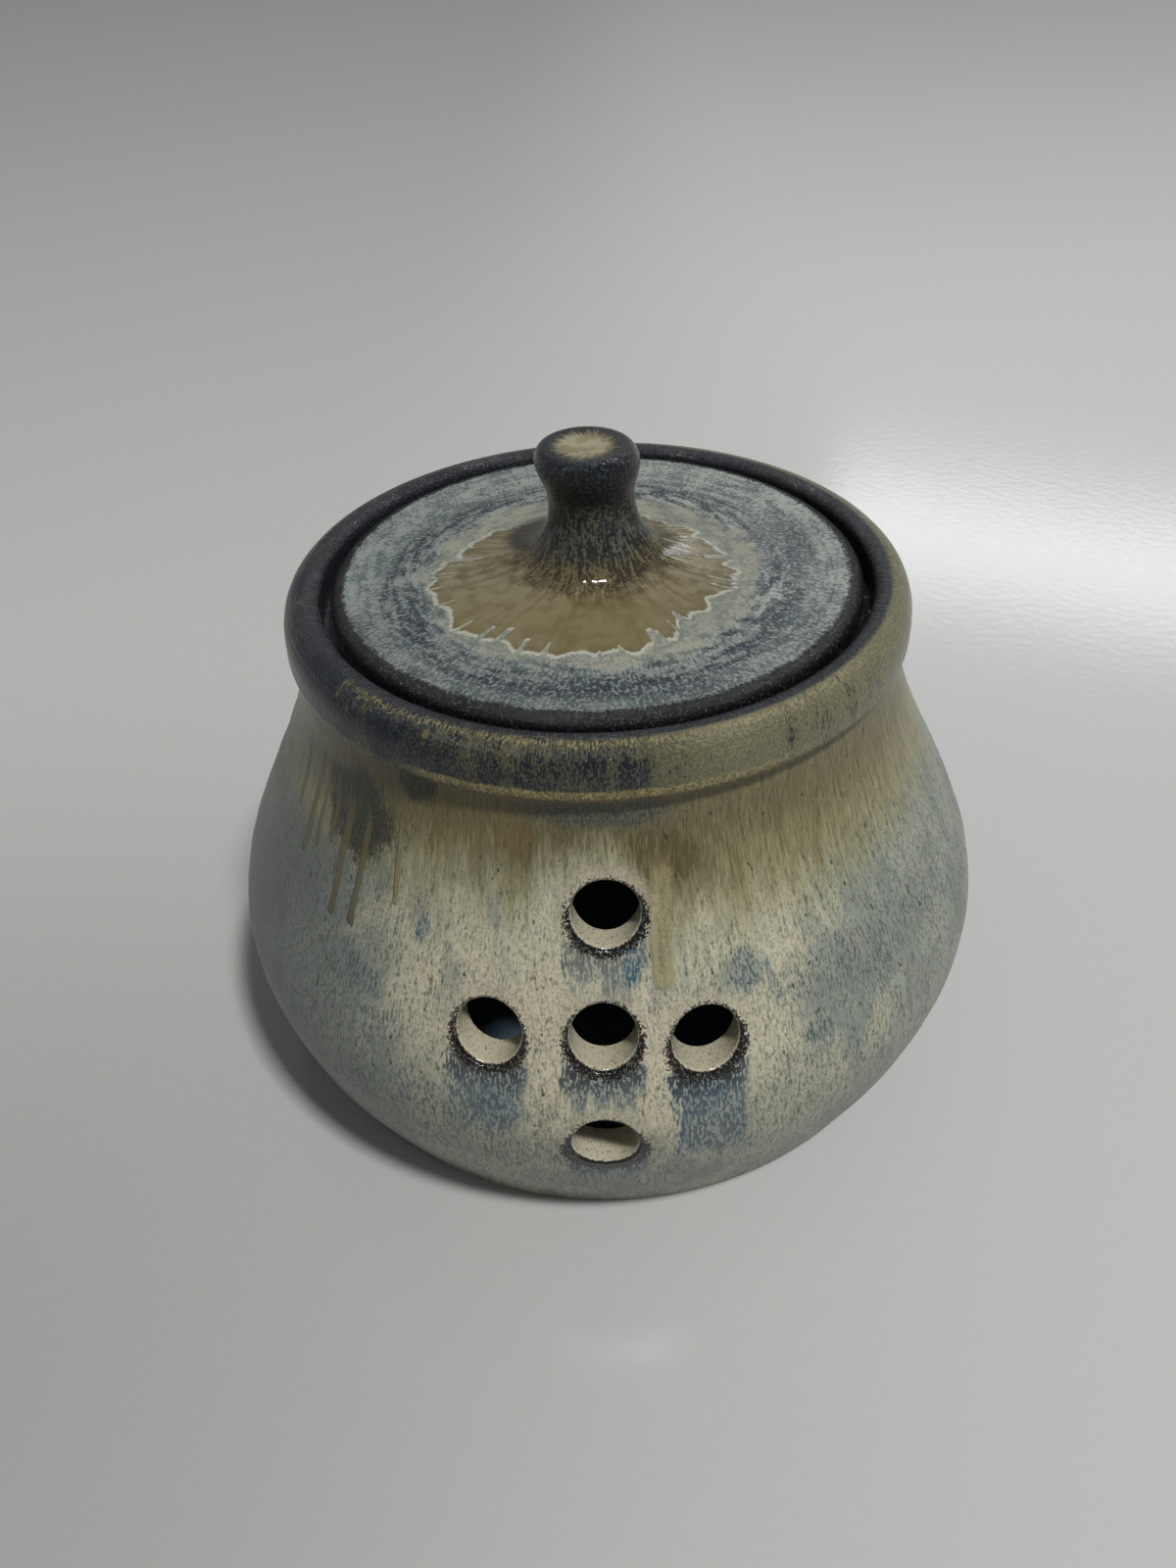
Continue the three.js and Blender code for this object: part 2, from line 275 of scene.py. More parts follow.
class Recipe:
    """One finish, mixed out of shader nodes. It knows the place on the piece in millimetres."""

    def __init__(self, name):
        self.material = bpy.data.materials.new(name)
        self.material.use_nodes = True
        self.tree = self.material.node_tree
        self.shader = self.tree.nodes["Principled BSDF"]
        place = self.node("ShaderNodeTexCoord", {}).outputs["Object"]
        scaled = self.node("ShaderNodeVectorMath", {0: place, "Scale": 1 / mm}, operation="SCALE")
        self.place = scaled.outputs[0]
        parts = self.node("ShaderNodeSeparateXYZ", {0: self.place}).outputs
        self.x, self.y, self.z = (Field(self, part) for part in parts)
        self.radius = self.maths("SQRT", self.x * self.x + self.y * self.y)
        self.bearing = self.maths("ARCTAN2", self.x, self.y * -1) * math.degrees(1)

    def node(self, kind, inputs, **settings):
        """Adds a node with its settings and inputs, which are sockets, fields or plain values."""
        made = self.tree.nodes.new(kind)
        for setting, value in settings.items():
            setattr(made, setting, value)
        for key, value in inputs.items():
            value = value.socket if isinstance(value, Field) else value
            if isinstance(value, bpy.types.NodeSocket):
                self.tree.links.new(value, made.inputs[key])
            else:
                made.inputs[key].default_value = value
        return made

    def maths(self, operation, first, second=0.0):
        made = self.node("ShaderNodeMath", {0: first, 1: second}, operation=operation)
        return Field(self, made.outputs[0])

    def ramp(self, value, low, high):
        """0 below low and 1 above high, with an easy slope between. With low above high it falls."""
        inputs = {"Value": value, "From Min": low, "From Max": high}
        made = self.node("ShaderNodeMapRange", inputs, interpolation_type="SMOOTHSTEP")
        return Field(self, made.outputs[0])

    def most(self, first, second):
        return self.maths("MAXIMUM", first, second)

    def unsigned(self, value):
        return self.maths("ABSOLUTE", value)

    def aside(self, bearing):
        """How far round the piece the place is from a bearing, in millimetres."""
        return (self.bearing - bearing) * (self.radius / math.degrees(1))

    def band(self, value, low, high, soft):
        """1 between low and high, fading out over a soft width past each."""
        return self.ramp(value, low - soft, low) * self.ramp(value, high + soft, high)

    def wheel(self, across, up, out=0.0):
        """The place as the wheel sees it: how far round, times across, and how far up and out."""
        inputs = {
            0: self.x / self.radius * across,
            1: self.y / self.radius * across,
            2: self.z * up + self.radius * out,
        }
        return self.node("ShaderNodeCombineXYZ", inputs).outputs[0]

    def cloud(self, place, size, detail=2.0, rough=0.5):
        """Noise from 0 to 1 whose blotches are about as wide as size, in millimetres."""
        inputs = {"Vector": place, "Scale": 1 / size, "Detail": detail, "Roughness": rough}
        return Field(self, self.node("ShaderNodeTexNoise", inputs).outputs[0])

    def mix(self, amount, under, over):
        """One colour laid over another."""
        inputs = {0: amount, 6: under, 7: over}
        return self.node("ShaderNodeMix", inputs, data_type="RGBA").outputs[2]

    def blot(self, across, up, middle, half_size, ragged=0.0):
        """A soft-edged blotch over two fields: its middle, and half its size each way."""
        across = (across - middle[0]) / half_size[0]
        up = (up - middle[1]) / half_size[1]
        return self.ramp(self.maths("SQRT", across * across + up * up) + ragged, 1.25, 0.55)

    def patch(self, middle, half_size, ragged=0.0):
        """A blotch on the wall, whose middle and size are a bearing and a height."""
        return self.blot(self.bearing, self.z, middle, half_size, ragged)

    def drip(self, bearing, top, end, width, waver=0.0):
        """A run of glaze with a round end: its bearing, the heights it spans, and its width in mm."""
        across = self.aside(bearing) + waver
        below = self.most(end + width / 2 - self.z, 0)
        reach = self.maths("SQRT", across * across + below * below) / (width / 2)
        return self.ramp(reach, 1.15, 0.7) * self.ramp(self.z, top + 4, top - 2)

    def finish(self, colour, roughness, height, depth):
        """Sets the shader's colour and gloss, and a relief whose height is a share of depth in mm."""
        inputs = {"Height": height, "Distance": depth * mm, "Strength": 1.0}
        bump = self.node("ShaderNodeBump", inputs).outputs[0]
        self.tree.links.new(colour, self.shader.inputs["Base Color"])
        self.tree.links.new(bump, self.shader.inputs["Normal"])
        self.tree.links.new(roughness.socket, self.shader.inputs["Roughness"])
        return self.material


# Glaze of the jar's outside
# A cream glaze over iron-specked clay, with a tan one dipped over the shoulder that ran in streaks and
# drips, blue where it lies thick under the holes, and blue-black with ochre breaks on the rolled rim.

pot = Recipe("jar_glaze")
ramp, mix, cloud, patch, most, band = pot.ramp, pot.mix, pot.cloud, pot.patch, pot.most, pot.band
z, bearing = pot.z, pot.bearing

# The bearing, drawn back to 0 behind, so that what is on one side only has no hard edge there
side = bearing * ramp(pot.unsigned(bearing), 175, 100)

# The unevenness of the glaze, from fine specks to slow drifts. What ran is stretched up the wall.
girth = 60
speck = cloud(pot.place, 0.36, 2)
grain = cloud(pot.wheel(girth, 0.50, -0.35), 0.30, 2)
tick = cloud(pot.wheel(girth, 0.22, -0.20), 0.34, 1)
hair = cloud(pot.wheel(girth, 0.15), 0.32, 2)
line = cloud(pot.wheel(girth, 0.10), 0.6, 3)
streak = cloud(pot.wheel(girth, 0.10, -0.10), 1.0, 3)
wide_streak = cloud(pot.wheel(girth, 0.12), 3.5, 2)
mottle = cloud(pot.wheel(girth, 0.5), 5.0, 3)
drift = cloud(pot.place, 17.0, 2)
wisp = mottle * 1.9 + streak * 0.9 - 1.4
waver = (mottle - 0.5) * 2.2
thick = ramp(tick * 0.65 + grain * 0.5, 0.52, 0.64)

# The bearing, height, half width, half height, raggedness and strength of each blotch
teal_blotches = [
    (-38, 45, 7, 3.5, 1, 1),
    (21, 50.5, 3.6, 3.4, 1, 1),
    (-23, 65, 2, 2.2, 1, 0.8),
    (-27.5, 55, 1.3, 2, 0.6, 1),
    (31, 38.5, 3, 2, 1, 1),
]
grey_blotches = [
    (42, 45, 16, 5, 1.5, 0.7),
    (-44, 36, 17, 10, 1.4, 0.65),
    (27, 27, 15, 11, 1, 0.42),
    (-27, 25, 20, 12, 1, 0.65),
    (0, 24, 8.5, 6, 0.6, 0.8),
]
smoky_blotches = [
    (-43.5, 66.5, 10, 7.5, 0.5, 1),
    (-31, 77, 5, 4.5, 0.5, 0.8),
]
navy_blotches = [
    (-29, 83, 13, 5, 1, 1),
    (-54, 83, 8, 6, 1, 0.8),
    (35, 84.3, 9, 2.6, 1.3, 0.3),
]

# The bearing, the heights of the top and the end, and the width of each drip off the tan glaze
tan_drips = [
    (-63, 68, 58.5, 1.3),
    (-57, 68, 54, 1.3),
    (-53.5, 68, 56.5, 1.1),
    (-50, 66, 59, 1.1),
    (-45.8, 66, 49.8, 1.9),
    (-41, 66, 50.5, 1.4),
    (-33.5, 66, 56.5, 0.9),
    (9.6, 66, 50, 3.1),
]
blue_drip = (4.8, 56, 50.6, 1.9)

# How far the blue ran below each hole, how strongly, and how much wider the crumbs are on that side
blue_runs = [
    (5.5, 0.5, 1.05),
    (11, 0.8, 1.2),
    (4.6, 0.85, 1.2),
    (16.5, 0.95, 1.35),
    (6, 0.9, 2.1),
]


def blotched(blotches):
    """Where the blotches of a list are, each with a ragged edge."""
    shown = 0.0
    for across, up, half_width, half_height, ragged, strength in blotches:
        blotch = patch((across, up), (half_width, half_height), wisp * ragged)
        shown = most(shown, blotch * strength)
    return shown


def veil(colour, amount, film, ink):
    """Blue glaze that shows through another one, as a thin film with fine upright ticks in it."""
    colour = mix(amount * 0.9, colour, film)
    return mix(amount * thick * 0.8, colour, ink)


def cream_body():
    """Cream with fine darker grains, greyer to the sides and towards the foot, pink between the holes."""
    front = ramp(pot.unsigned(bearing - 4), 60, 26)
    grey = mottle * 0.8 + drift * 0.6 - front * 0.3 + ramp(z, 34, 14) * 0.16
    grey = grey + ramp(side, -12, -36) * 0.12 + ramp(side, 16, 42) * 0.22
    grey = ramp(grey, 0.42, 0.78)
    light = mix(grey, paint(188, 184, 160), paint(152, 155, 141))
    dark = mix(grey, paint(158, 156, 135), paint(120, 126, 117))
    pink = patch((-19, 47), (11, 7), mottle * 0.6 - 0.3)
    between = band(pot.unsigned(bearing), 5, 8, 2) * band(z, 30, 50, 6)
    light = mix(most(pink, between) * 0.7, light, paint(198, 188, 165))
    colour = mix(ramp(grain * 0.5 + speck * 0.35 + tick * 0.3, 0.48, 0.68), light, dark)
    wisps = ramp(mottle * 0.6 + streak * 0.4 + drift * 0.4, 0.66, 0.84)
    colour = mix(wisps * (0.35 + grey * 0.35), colour, paint(118, 125, 119))
    return mix(ramp(tick, 0.58, 0.72) * (0.25 + grey * 0.5), colour, paint(80, 90, 88))


def blue_belly(colour):
    """Blue-grey blotches round the belly, and a grey cast on its sides and its foot. On the far left and on
    the bevel the grey is partly glaze and partly painted shade.
    """
    colour = veil(colour, blotched(teal_blotches) * 0.8, paint(118, 128, 124), paint(58, 80, 90))
    # Greyer and darker on the far left: partly the glaze, partly painted shade on the side turned from the
    # lamp
    colour = mix(ramp(side, -24, -60) * 0.82, colour, paint(82, 88, 87))
    to_sides = ramp(pot.unsigned(bearing), 40, 75) * ramp(drift + wisp * 0.5, 0.42, 0.7)
    low_down = ramp(z + wisp * 18, 24, 12)
    # The bevel under the crease is greyed: partly glaze, partly painted shade beneath the belly's overhang
    bevel_grey_and_shade = ramp(z, 13.2, 11.2)
    grey = most(most(blotched(grey_blotches), to_sides * 0.7), most(low_down * 0.45, bevel_grey_and_shade * 0.35))
    return veil(colour, grey * 0.9, paint(120, 126, 120), paint(80, 91, 92))


def tan_shoulder(colour):
    """The tan glaze over the shoulder, which fades downwards into the cream through a greenish yellow."""
    edge = 61 - ramp(side, 3, 9) * 3.5 + patch((-2, 60), (9, 60)) * 5
    reach = z - edge + (streak - 0.5) * 7 + (wide_streak - 0.5) * 12
    to_left = ramp(side, -24, -42)
    yellow = mix(ramp(hair, 0.40, 0.58), paint(122, 120, 88), paint(154, 152, 118))
    colour = mix(ramp(reach, -6, 4) * 0.75, colour, yellow)
    tan = mix(ramp(z + (streak - 0.5) * 8, 63, 72), paint(136, 129, 92), paint(109, 101, 69))
    tan = mix(to_left * 0.6, tan, paint(98, 93, 68))
    tan = mix(patch((1, 66), (17, 9), wisp * 0.5) * 0.95, tan, paint(80, 69, 34))
    tan = mix(ramp(line, 0.40, 0.62) * 0.5, tan, paint(92, 85, 58))
    tan = mix(ramp(hair, 0.52, 0.62) * 0.28, tan, paint(150, 144, 110))
    tan = mix(ramp(hair, 0.46, 0.36) * 0.38, tan, paint(72, 66, 46))
    tan = mix(ramp(wide_streak + (mottle - 0.5), 0.50, 0.75) * 0.45, tan, paint(98, 90, 60))
    shown = ramp(reach, -1, 9)
    colour = mix(shown, colour, tan)
    rust = patch((-19, 72), (12, 4.5), wisp) * ramp(streak + wide_streak, 0.85, 1.1)
    colour = mix(rust * 0.45, colour, paint(112, 96, 56))
    ragged = (tick - 0.5) * 1.3 + (grain - 0.5) * 0.9 + (streak - 0.5) * 0.9
    smoke = ramp(blotched(smoky_blotches) + ragged, -0.05, 0.9)
    smoky = mix(ramp(speck * 0.6 + grain * 0.4, 0.45, 0.58), paint(57, 57, 43), paint(26, 31, 33))
    colour = mix(smoke * 0.95, colour, smoky)
    # Grey patch under the rim's roll: partly grey glaze, partly painted shade beneath the rim's overhang
    grey_and_shade_under_rim = patch((1, 75.2), (14, 2.8), wisp * 0.4)
    grey = mix(ramp(grain, 0.40, 0.6), paint(92, 91, 76), paint(50, 55, 54))
    return mix(grey_and_shade_under_rim * 0.85, colour, grey), shown


def run_down(colour):
    """Drips off the lower edge of the tan glaze, darker where they pool at their ends."""
    drips = 0.0
    for tan_drip in tan_drips:
        drips = most(drips, pot.drip(*tan_drip, waver))
    pooled = mix(ramp(z, 56, 50), paint(92, 84, 54), paint(64, 56, 34))
    run_colour = mix(ramp(side, -24, -42), paint(148, 141, 106), pooled)
    run_colour = mix(ramp(streak * 0.6 + grain * 0.5, 0.50, 0.66) * 0.5, run_colour, paint(96, 90, 60))
    return mix(drips * (0.6 + hair * 0.45), colour, run_colour), drips


def rim_glaze():
    """Blue-black where the glaze of the rim is thick, with ochre ticks that crowd to the right."""
    ochre = tick * 0.40 + grain * 0.35 + speck * 0.25 + wide_streak * 0.25 + (mottle - 0.5) * 0.3
    ochre = ochre + ramp(side, -60, 70) * 0.13 - ramp(side, -38, -66) * 0.09
    ochre = ochre + band(side, 12, 36, 8) * 0.06
    ochre = ochre + ramp(z, 81.5, 79.5) * 0.05 + ramp(z, 83.5, 85) * 0.05
    ochre = ochre + patch((22, 82), (15, 6)) * 0.015 - patch((-1, 82), (10, 4)) * 0.03
    ochre = ochre - blotched(navy_blotches) * 0.08
    navy = mix(ramp(mottle + ramp(side, 6, 30) * 0.15, 0.4, 0.6), paint(10, 18, 34), paint(24, 30, 35))
    navy = mix(ramp(side, 45, 75) * 0.7, navy, paint(72, 73, 60))
    dust = ramp(grain * 0.5 + speck * 0.5 + (mottle - 0.5) * 0.4, 0.50, 0.60)
    navy = mix(dust * ramp(side, -58, -22) * 0.55, navy, paint(88, 89, 65))
    dim_ticks = mix(ramp(speck, 0.4, 0.6), paint(98, 94, 69), paint(70, 71, 54))
    pale_ticks = mix(ramp(speck, 0.4, 0.6), paint(126, 122, 92), paint(98, 98, 76))
    return mix(ramp(ochre, 0.62, 0.76) * 0.85, navy, mix(ramp(side, 4, 22), dim_ticks, pale_ticks))


def dark_rim(colour):
    """The rolled rim, whose glaze breaks to ochre on the lip below and on the crest, and the mouth."""
    rim = ramp(z + (tick - 0.5) * 2 + (streak - 0.5) * 1.5, 78.2, 79.0)
    on_lip = band(z + (mottle - 0.5) * 1.2, 78.8, 79.7, 0.5)
    on_lip = on_lip * (0.6 + ramp(streak + grain * 0.5, 0.6, 0.85) * 0.4)
    on_lip = on_lip * ramp(bearing, -34, -26) * ramp(bearing, 44, 14)
    on_top = ramp(z, 84, 84.8)
    crest = band(pot.radius + (mottle - 0.5) * 1.8 + (speck - 0.5) * 2.4, 46.1, 46.6, 0.4) * on_top
    crest = crest * ramp(tick * 0.5 + grain * 0.5, 0.44, 0.56)
    crest = crest * ramp(bearing, -50, -40) * ramp(bearing, 60, 45)
    pimple = patch((-27.5, 84.8), (0.8, 0.6))
    breaks = mix(ramp(speck, 0.44, 0.6), paint(152, 138, 90), paint(102, 95, 64))
    shown = mix(most(most(on_lip, crest * 0.7), pimple * 0.4) * 0.9, rim_glaze(), breaks)
    colour = mix(most(rim, on_lip), colour, shown)
    mouth = ramp(pot.radius + (speck - 0.5) * 1.2, 45.9, 45.2) * ramp(z, 77.5, 78.5)
    black = mix(ramp(grain, 0.5, 0.6), paint(28, 31, 37), paint(50, 52, 54))
    shine = most(band(pot.radius, crest_radius, crest_radius + 2.8, 0.6) * on_top, mouth)
    return mix(mouth, colour, black), most(rim, mouth), pimple, shine


def from_bore(middle, axis):
    """How far the place is from the middle line of a bore."""
    apart = pot.node("ShaderNodeVectorMath", {0: pot.place, 1: middle}, operation="SUBTRACT").outputs[0]
    square = pot.node("ShaderNodeVectorMath", {0: apart, 1: axis}, operation="CROSS_PRODUCT").outputs[0]
    spoke = pot.node("ShaderNodeVectorMath", {0: square}, operation="LENGTH").outputs["Value"]
    return Field(pot, spoke)


def vent_edges(colour):
    """Round the holes the glaze thinned to a dark crumbly ring, and ran blue below. The bores are cream."""
    crumb = (speck - 0.5) * 2.6 + (grain - 0.5) * 1.4
    front = ramp(pot.y, -20, -30)
    bore, ring, lip, halo, run, deep = 0.0, 0.0, 0.0, 0.0, 0.0, 0.0
    for (place, axis), (length, strength, crumbling) in zip(vents, blue_runs):
        middle = place / mm
        away = from_bore(middle, axis) - vent_radius
        below = middle.z - z
        lower = ramp(below, -4.5, 4)
        bore = most(bore, ramp(away + crumb * 0.12, 0.26, 0.10))
        crumbs = speck + grain * 0.5 + (mottle - 0.5) * 0.35 - (away - lower * crumbling) * 0.33
        ring = most(ring, ramp(crumbs, 0.58, 0.65) * ramp(away, 4, 3))
        lip = most(lip, ramp(away, 0.75, 0.45) * ramp(away, -1, -0.5))
        halo = most(halo, ramp(away + crumb * 0.4, 3.6, 1.2) * (1 - lower * 0.6))
        aside = pot.aside(math.degrees(math.atan2(middle.x, -middle.y)))
        beside = ramp(pot.unsigned(aside + waver * 2 + (tick - 0.5) * 3), 8.0, 4.0)
        deep = most(deep, beside * ramp(below, 10, 5) * ramp(below, 2, 5))
        fallen = ramp(below - vent_radius, length + 6, length - 5) * ramp(below, 2.0, 5)
        fallen = beside * fallen * (1.0 + ramp(below, 9, 5) * 0.4)
        run = most(run, ramp(fallen + (mottle - 0.5) * 1.1 + (streak - 0.5) * 1.3, 0.40, 0.85) * strength)
    thin = mix(ramp(grain, 0.46, 0.62), paint(176, 168, 148), paint(146, 139, 122))
    colour = mix(halo * front * 0.6, colour, thin)
    film = mix(ramp(mottle, 0.42, 0.62), paint(106, 122, 126), paint(134, 141, 133))
    colour = mix(run * front * 0.9, colour, film)
    inked = ramp(tick * 0.65 + grain * 0.5 + deep * 0.05, 0.52, 0.61) * (0.75 + deep * 0.25)
    colour = mix(run * front * inked, colour, mix(deep, paint(44, 62, 78), paint(14, 22, 32)))
    colour = mix(pot.drip(*blue_drip, waver) * (0.3 + thick * 0.7), colour, paint(58, 88, 104))
    grains = mix(ramp(grain, 0.55, 0.62) * ramp(z, 16, 30) * 0.75, paint(7, 7, 8), paint(106, 101, 92))
    colour = mix(ring * front, colour, grains)
    inside = mix(ramp(speck, 0.56, 0.66), paint(172, 167, 147), paint(128, 116, 92))
    return mix(bore * front, colour, inside), ring * front * (1 - bore), lip * front


colour, tan = tan_shoulder(blue_belly(cream_body()))
colour, drips = run_down(colour)
colour, rim, pimple, shine = dark_rim(colour)
pinhole = ramp(cloud(pot.wheel(girth, 0.6), 0.75, 0), 0.79, 0.82) * (1 - rim) * (1 - drips)
colour = mix(pinhole * 0.8, colour, paint(44, 44, 40))
colour, ring, lip = vent_edges(colour)
# Dark grey along the bottom edge: the bare foot, darkened as painted contact shade where the pot meets the
# table
bare_edge_and_contact_shade = ramp(z + (mottle - 0.5) * 0.6, 0.7, 0.3)
colour = mix(bare_edge_and_contact_shade, colour, paint(96, 92, 82))
glossy = most(most(ring * 0.22, lip * 0.32), most(rim * 0.10, shine * 0.2))
rough = 0.34 + grain * 0.12 - tan * 0.08 - glossy + bare_edge_and_contact_shade * 0.3
rough_spots = speck * (rim * 1.1 + ring * 1.6 + shine * 1.3) + grain * (0.35 - tan * 0.2)
relief = rough_spots * (1 - lip * 0.9) + streak * 0.3 + mottle * 0.8
outside_glaze = pot.finish(colour, rough, relief + drips * 1.2 + pimple * 3, 0.16)

# Glaze of the jar's inside, and the bare foot
# The inside is lined with one blue glaze, painted paler as painted light where little light reaches, and
# the foot shows the buff clay with its iron specks.


def liner_glaze_painted_light():
    """Blue, painted paler as painted light inside, and deeper where it pooled on the floor."""
    pot = Recipe("liner_glaze_painted_light")
    drift = pot.cloud(pot.wheel(50, 0.3), 9, 3)
    # The pale blues are painted paler than the glaze, as painted light in the shaded inside
    colour = pot.mix(pot.ramp(drift, 0.4, 0.65), paint(160, 176, 188), paint(150, 162, 168))
    colour = pot.mix(pot.ramp(pot.z + drift * 4, 14, 9), colour, paint(104, 126, 142))
    return pot.finish(colour, 0.22 + drift * 0.1, drift + pot.cloud(pot.place, 0.6) * 0.2, 0.2)


def bare_clay():
    """Buff clay with fine turning lines and iron specks."""
    pot = Recipe("bare_clay")
    speck = pot.cloud(pot.place, 0.5, 3)
    turned = pot.cloud(pot.wheel(6, 1.0, 1.0), 1.2, 3)
    colour = pot.mix(pot.ramp(turned, 0.35, 0.65), paint(158, 140, 114), paint(142, 122, 98))
    colour = pot.mix(pot.ramp(speck, 0.64, 0.7), colour, paint(88, 66, 50))
    return pot.finish(colour, 0.82 + speck * 0.1, turned + speck * 0.6, 0.18)


liner_and_painted_light = liner_glaze_painted_light()
clay = bare_clay()


glazed, lined, unglazed = 0, 1, 2


def glaze_parts(body, materials, part_of):
    """Gives a thrown body its finishes, each face the one that part_of names for its place."""
    for material in materials:
        body.data.materials.append(material)
    for face in body.data.polygons:
        outward = Vector((face.center.x, face.center.y, 0)).normalized()
        face.material_index = part_of(face.center / mm, face.normal.dot(outward), face.normal.z)


def jar_part(place, outward, upward):
    """Bare under the foot, and lined over the floor, up the wall and round the throat."""
    radius = math.hypot(place.x, place.y)
    if place.z < foot_recess + 0.5 and radius < foot_radius - foot_rounding + 0.2:
        return unglazed
    in_throat = radius < throat_radius + 0.3
    on_wall = outward < -0.05 and place.z < ledge_height - 1.4
    on_floor = upward > 0.2 and place.z < 20
    over_foot = place.z > floor_height - 1.5
    return lined if over_foot and (in_throat or on_wall or on_floor) else glazed


glaze_parts(jar, [outside_glaze, liner_and_painted_light, clay], jar_part)
alone(jar)
cut = jar.modifiers.new("vents", "BOOLEAN")
cut.operation = "DIFFERENCE"
cut.solver = "EXACT"
cut.object = rods
bpy.ops.object.modifier_apply(modifier=cut.name)
bpy.data.objects.remove(rods)
jar_crisp_angle = 38
bpy.ops.object.shade_smooth_by_angle(angle=math.radians(jar_crisp_angle))
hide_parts("jar")
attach(jar, "jar")

# Lid
# A thrown disc with a locating ring under it and a waisted knob pulled up out of its middle. It drops
# loose onto the ledge. Its tan splash ran down off the knob over a pale blue glaze, and both thinned
# to black on the edge and on the knob. The seat and the ring are wiped bare.

lid_low, lid_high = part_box("lid")
seat_height = ledge_height + 0.3
lid_radius = lid_high.x / mm
lid_edge_height = seat_height + 5.2
crown_radius, crown_height = 23.0, lid_edge_height + 0.8
knob_top = lid_high.z / mm
knob_radius, stem_radius, stem_foot_radius = 7.9, 6.6, 9.5
knob_widest = knob_top - 2.5
ring_outer, ring_inner = throat_radius - 1.6, throat_radius - 5.6
ring_bottom = lid_low.z / mm

lid_outline = [
    (0, seat_height + 1.2, none, none),
    (ring_inner - 1.2, seat_height + 1.2, none, (0.8, 0)),
    (ring_inner, seat_height, (0, 0.8), none),
    (ring_inner, ring_bottom + 1.2, none, (0, -0.8)),
    (ring_inner + 1.2, ring_bottom, (-0.8, 0), none),
    (ring_outer - 1.2, ring_bottom, none, (0.8, 0)),
    (ring_outer, ring_bottom + 1.2, (0, -0.8), none),
    (ring_outer, seat_height - 0.4, none, (0, 0.3)),
    (ring_outer + 0.4, seat_height, (-0.3, 0), none),
    (lid_radius - 1.2, seat_height, none, (0.8, 0)),
    (lid_radius, seat_height + 1.2, (0, -0.8), none),
    (lid_radius, lid_edge_height - 1.8, none, (0, 1.1)),
    (lid_radius - 2.0, lid_edge_height - 0.05, (1.1, 0), (-3.0, 0.1)),
    (32.0, lid_edge_height - 0.05, (2.5, -0.1), (-3.0, 0.1)),
    (crown_radius, crown_height, (3.2, 0), (-5.5, 0.1)),
    (stem_foot_radius, crown_height + 3.2, (1.8, -2.1), (-1.7, 2.6)),
    (stem_radius, knob_top - 7.6, (0, -4.6), (0, 1.6)),
    (knob_radius, knob_widest, (0, -1.6), (0, 1.3)),
    (knob_radius - 1.7, knob_top - 0.05, (0.9, 0), (-1.5, 0)),
    (0, knob_top - 0.6, (2.5, 0), none),
]

lid = throw("lid_body", lid_outline, pace=1.0)
knob_lean = -1.0
for vertex in lid.data.vertices:
    height = vertex.co.z / mm
    share = min(max((height - crown_height) / (knob_top - crown_height), 0), 1)
    vertex.co.x += knob_lean * share * share * mm


